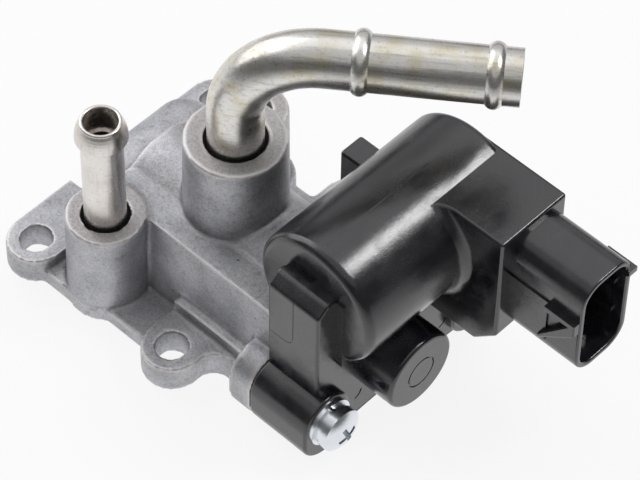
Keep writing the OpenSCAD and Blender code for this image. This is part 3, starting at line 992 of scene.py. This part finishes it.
@dataclass
class MotorHousing:
    """The moulded housing of the motor, its coil barrel, cap and connector; in millimetres."""

    flat: float = math.radians(0.6)
    edge: float = 0.7
    least_angle: float = 28.0
    steps: int = 3
    sharp: float = 34.0
    hollow: float = 16.0
    normal_weight: int = 60
    coil_x: float = 49.1
    coil_z: float = 36.3
    coil_r: float = 15.5
    coil_ends: tuple[float, float] = (-11.5, 18.0)
    seam_angle: float = math.radians(1.1)
    seam: float = 0.24
    panel_low: Vector = field(default_factory=lambda: Vector((36.0, -26.0, 25.7)))
    panel_high: Vector = field(default_factory=lambda: Vector((48.7, -14.0, 48.0)))
    panel_round: float = 2.6
    panel_steps: int = 6
    margin: float = 2.0
    score: float = 0.16
    cover_y: float = -20.2
    cover_top: float = 40.2

    def finish(self) -> MouldedFinish:
        """Satin black nylon."""
        return MouldedFinish(
            name="black_nylon",
            colour=(0.0105, 0.0098, 0.0135),
            metal=0.0,
            rough=0.21,
            depth=0.036,
            slot="black_plastic",
        )

    def _score_panel(self, shell: bpy.types.Object) -> None:
        """Scores the outline of the mould's panel into the near leg cover.

        Args:
            shell: the housing.
        """
        outline = Bench.block("panel", self.panel_low, self.panel_high)
        Bench.modify(
            outline, "BEVEL", width=self.panel_round * MM, segments=self.panel_steps
        )
        Bench.modify(outline, "SOLIDIFY", thickness=self.score * MM, offset=-1.0)
        front, back = self.cover_y - self.margin / 2, self.cover_y + self.score
        low = Vector((self.panel_low.x, front, self.panel_low.z - self.margin))
        high = Vector((self.panel_high.x + self.margin, back, self.cover_top))
        Bench.join(outline, Bench.block("slab", low, high), Volume.KEEP)
        Bench.cut(shell, outline)

    def _raise_seam(self, shell: bpy.types.Object) -> None:
        """Raises the fine line that the mould's halves leave along the coil.

        Args:
            shell: the housing.
        """
        start, end = self.coil_ends
        turn = Matrix.Rotation(self.seam_angle, 3, "Y")
        middle = turn @ Vector((0.0, 0.0, self.coil_r))
        place = Vector((self.coil_x, (start + end) / 2, self.coil_z)) + middle
        half = Vector((self.seam / 2, (end - start) / 2, self.seam / 2))
        line = Bench.block("seam", -half, half)
        line.matrix_world = Matrix.Translation(place * MM) @ turn.to_4x4()
        Bench.settle(line)
        Bench.join(shell, line, Volume.ADD)

    def build(self) -> None:
        """Builds and dresses the housing."""
        shell = Bench.copy("motor_housing", "moulded_housing")
        Bench.only(shell)
        bpy.ops.object.mode_set(mode="EDIT")
        bpy.ops.mesh.select_all(action="SELECT")
        bpy.ops.mesh.dissolve_limited(angle_limit=self.flat)
        bpy.ops.object.mode_set(mode="OBJECT")
        Bench.soften(shell, self.edge, self.least_angle, self.steps)
        self._score_panel(shell)
        self._raise_seam(shell)
        Bench.smooth(shell, self.sharp)
        Bench.crease_hollows(shell, self.hollow)
        Bench.modify(shell, "WEIGHTED_NORMAL", keep_sharp=True, weight=self.normal_weight)
        Bench.dress(shell, self.finish(), HOUSING, ["motor_housing"])


@dataclass
class CadPieces:
    """The CAD nodes that are shown as they are, with their finishes."""

    pipe_turn: float = math.radians(37.0)
    pipe_bend_r: float = 18.0
    pipe_bend_z: float = 53.3
    pipe_r: float = 6.0

    def finishes(self) -> dict[str, Finish]:
        """Finish of each CAD node that is shown.

        Returns:
            Finishes by node name.
        """
        rubber = Finish("seal_rubber", (0.018, 0.018, 0.018), 0.0, 0.75)
        zinc = Finish("bright_zinc", (0.80, 0.83, 0.87), 1.0, 0.26, 0.8, 0.012)
        bronze = Finish("sintered_bronze", (0.52, 0.35, 0.17), 1.0, 0.5, 0.5, 0.03)
        iron = Finish("soft_iron", (0.42, 0.43, 0.45), 1.0, 0.42)
        steel = Finish("ground_steel", (0.6, 0.61, 0.63), 1.0, 0.22, 0.4, 0.005)
        return {
            "straight_nipple": TubeFinish(
                "nickel_tube",
                (0.76, 0.73, 0.70),
                1.0,
                0.3,
                depth=0.015,
                tint=(0.68, 0.64, 0.60),
                scuff=(0.42, 0.40, 0.38),
            ),
            "bent_pipe": TubeFinish(
                "zinc_tube",
                (0.74, 0.725, 0.70),
                1.0,
                0.3,
                depth=0.014,
                tint=(0.66, 0.62, 0.50),
                stretch=(16.0, 1.0, 1.0),
                turn=self.pipe_turn,
                bend=Bend(
                    PIPE_X, self.pipe_turn, self.pipe_bend_r, self.pipe_bend_z, self.pipe_r
                ),
            ),
            "motor_seal": rubber,
            "shaft_seal": rubber,
            "housing_screws": zinc,
            "spring_washers": zinc,
            "plain_washers": zinc,
            "bearing_carrier": Finish("turned_aluminium", (0.72, 0.73, 0.75), 1.0, 0.3),
            "inner_bush": bronze,
            "outer_bush": bronze,
            "thrust_washer": bronze,
            "valve_shaft": steel,
            "valve_pin": steel,
            "rotary_valve": Finish("valve_resin", (0.23, 0.15, 0.08), 0.0, 0.45),
            "retaining_ring": Finish("spring_steel", (0.16, 0.16, 0.17), 1.0, 0.35),
            "rotor_magnet": Finish("ferrite", (0.06, 0.06, 0.065), 0.1, 0.55),
            "bobbin": Finish("natural_nylon", (0.62, 0.58, 0.47), 0.0, 0.4),
            "coil_winding": WoundFinish("copper_wire", (0.60, 0.23, 0.09), 1.0, 0.28),
            "coil_core": iron,
            "near_pole_leg": iron,
            "far_pole_leg": iron,
            "terminals": Finish("tin_plate", (0.72, 0.72, 0.71), 1.0, 0.24, 0.5, 0.006),
        }

    def build(self) -> None:
        """Paints each node; nodes of one finish share its material."""
        made: dict[str, bpy.types.Material] = {}
        for node, finish in self.finishes().items():
            if finish.name not in made:
                made[finish.name] = finish.material()
            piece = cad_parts[node]
            piece.data.materials.clear()
            piece.data.materials.append(made[finish.name])
            log.info("%s: %s", node, finish.name)


@dataclass(frozen=True)
class SoftBox:
    """One soft lamp: its place and sides in millimetres and its strength."""

    name: str
    place: tuple[float, float, float]
    wide: float
    high: float
    power: float


@dataclass
class Studio:
    """Pale floor, soft light and the photograph's camera; places in millimetres."""

    azimuth: float = 42.8
    elevation: float = 51.3
    roll: float = 1.2
    distance: float = 735.0
    lens: float = 196.875
    sensor: float = 36.0
    near_clip: float = 0.05
    aim: Vector = field(default_factory=lambda: Vector((28.57, 8.89, 16.82)))
    floor_z: float = -2.4
    floor_size: float = 6000.0
    paper: float = 0.86
    paper_rough: float = 0.95
    shadow: float = 0.12
    near_paper: tuple[float, float] = (230.0, 110.0)
    sky: float = 0.34
    low_gloss: float = 0.12
    high_gloss: float = 0.6
    rise: tuple[float, float] = (0.55, 0.75)
    boxes: tuple[SoftBox, ...] = (
        SoftBox("back_box", (-250.0, 330.0, 520.0), 1050.0, 1050.0, 1.7),
        SoftBox("left_box", (-470.0, -60.0, 330.0), 520.0, 520.0, 1.5),
        SoftBox("right_box", (276.0, 304.0, 528.0), 150.0, 190.0, 1.0),
    )

    def _camera(self) -> None:
        """Sets the camera at the photograph's place."""
        turn, lift = math.radians(self.azimuth), math.radians(self.elevation)
        back = Vector(
            (math.sin(turn) * math.cos(lift), -math.cos(turn) * math.cos(lift), math.sin(lift))
        )
        flat = Vector((math.cos(turn), math.sin(turn), 0.0))
        above = back.cross(flat)
        tilt = math.radians(self.roll)
        right = flat * math.cos(tilt) + above * math.sin(tilt)
        up = above * math.cos(tilt) - flat * math.sin(tilt)
        bpy.ops.object.camera_add(location=(self.aim + back * self.distance) * MM)
        camera = bpy.context.active_object
        camera.rotation_euler = Matrix((right, up, back)).transposed().to_euler()
        camera.data.lens = self.lens
        camera.data.sensor_width = self.sensor
        camera.data.clip_start = self.near_clip
        bpy.context.scene.camera = camera

    def _lamp(self, box: SoftBox) -> None:
        """Adds a soft lamp that faces the part.

        Args:
            box: the lamp's place, sides and power.
        """
        place = Vector(box.place)
        bpy.ops.object.light_add(type="AREA", location=place * MM)
        lamp = bpy.context.active_object
        lamp.name = box.name
        lamp.data.shape = "RECTANGLE"
        lamp.data.size = box.wide * MM
        lamp.data.size_y = box.high * MM
        lamp.data.energy = box.power
        lamp.rotation_euler = (place - self.aim).to_track_quat("Z", "Y").to_euler()

    def _floor(self) -> None:
        """Lays white paper that keeps a faint shadow of the part."""
        bpy.ops.object.select_all(action="DESELECT")
        bpy.ops.mesh.primitive_plane_add(
            size=self.floor_size * MM, location=(0, 0, self.floor_z * MM)
        )
        floor = bpy.context.active_object
        floor.name = "floor"
        paint = Paint("floor_paper")
        paper = paint.finish(
            Base_Color=(self.paper,) * 3, Roughness=self.paper_rough, Metallic=0.0
        )
        white = paint.node("ShaderNodeEmission", inputs={"Color": WHITE, "Strength": 1.0})
        x, y, _ = paint.place()
        near = ((x * x + y * y) ** 0.5).ramp(*self.near_paper)
        gloss = paint.mirrored() * near
        seen = (paint.ray("Is Camera Ray") * (1.0 - self.shadow)).larger(gloss)
        shaders = {1: paint.shader.outputs[0], 2: white.outputs[0]}
        paint.show(paint.node("ShaderNodeMixShader", inputs={0: seen, **shaders}))
        floor.data.materials.append(paper)

    def _world(self) -> None:
        """A room that is white to the camera, and to gloss pale overhead and dim low down."""
        world = bpy.data.worlds.new("pale_room")
        world.use_nodes = True
        room = Wiring(world.node_tree)
        way = room.node("ShaderNodeTexCoord").outputs["Generated"]
        rise = Signal(room, room.node("ShaderNodeSeparateXYZ", inputs={0: way}).outputs[2])
        gloss = rise.ramp(*self.rise) * (self.high_gloss - self.low_gloss) + self.low_gloss
        camera = room.ray("Is Camera Ray")
        lit = room.mirrored() * (gloss - self.sky) + self.sky
        backdrop = world.node_tree.nodes["Background"]
        room.feed(backdrop.inputs["Color"], WHITE)
        room.feed(backdrop.inputs["Strength"], lit.larger(camera))
        bpy.context.scene.world = world

    def build(self) -> None:
        """Builds the floor, the lamps, the room and the camera."""
        self._floor()
        for box in self.boxes:
            self._lamp(box)
        self._world()
        bpy.context.scene.view_settings.view_transform = "Standard"
        self._camera()


def main() -> None:
    """Builds all sub-assemblies."""
    logging.basicConfig(level=logging.INFO, format="%(name)s %(message)s")
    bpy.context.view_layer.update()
    steps: tuple[Callable[[], None], ...] = (
        CastBody().build,
        MotorHousing().build,
        CadPieces().build,
        Studio().build,
    )
    for step in steps:
        step()


if __name__ == "__main__":
    main()
